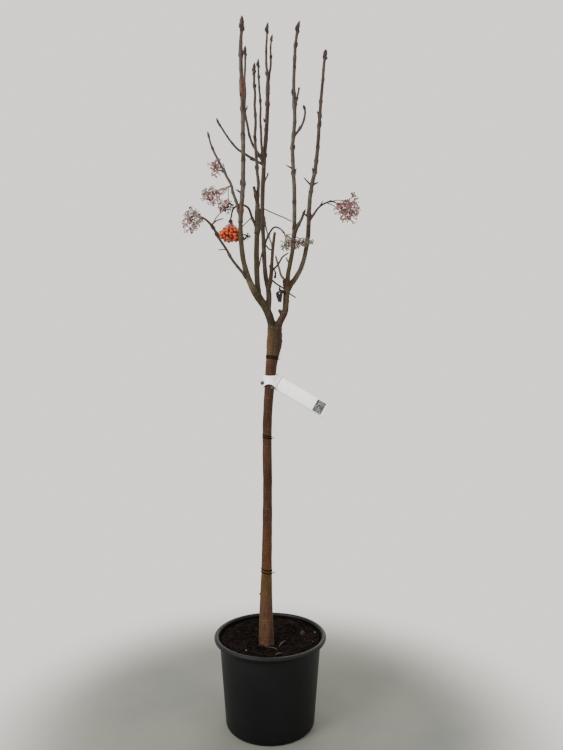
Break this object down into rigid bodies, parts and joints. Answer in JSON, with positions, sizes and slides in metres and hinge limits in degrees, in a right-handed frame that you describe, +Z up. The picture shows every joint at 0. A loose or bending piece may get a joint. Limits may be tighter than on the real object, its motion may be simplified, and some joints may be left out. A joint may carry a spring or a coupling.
{
  "type": "potted rowan tree",
  "caption": "Young rowan on a clear stem, bare of leaves in late autumn with fruit clusters, growing in a round black nursery pot.",
  "frame": {"origin": "middle of the pot's flat underside", "axes": "+Z up the tree, +X to the right of the pictured front, +Y away from the viewer"},
  "size_m": [0.4881, 0.319, 2.0469],
  "materials": {
    "pot": "matte black moulded plastic",
    "compost": "dark damp bark compost",
    "bark": "young bark, reddish brown to olive",
    "twigs": "young shoots, buds and fruit stalks",
    "ties": "black tying band",
    "tag": "blank white plant tag"
  },
  "bodies": {
    "root": {"pot": "pot", "compost": "compost", "trunk": "bark", "bough_left": "bark", "bough_right": "bark", "bough_centre": "bark", "bough_centre_left": "bark", "bough_right_inner": "bark", "bough_cut": "bark", "twigs_left": "twigs", "twigs_left_low": "twigs", "twigs_centre_left": "twigs", "twigs_centre": "twigs", "twigs_hook": "twigs", "twigs_right": "twigs", "twigs_right_inner": "twigs", "twig_inner": "twigs", "twig_dead": "twigs", "twig_strand": "twigs", "twig_fork": "twigs", "dried_stalk": "twigs", "tie_top": "ties", "tie_middle": "ties", "tie_low": "ties", "tag": "tag"}
  },
  "joints": []
}
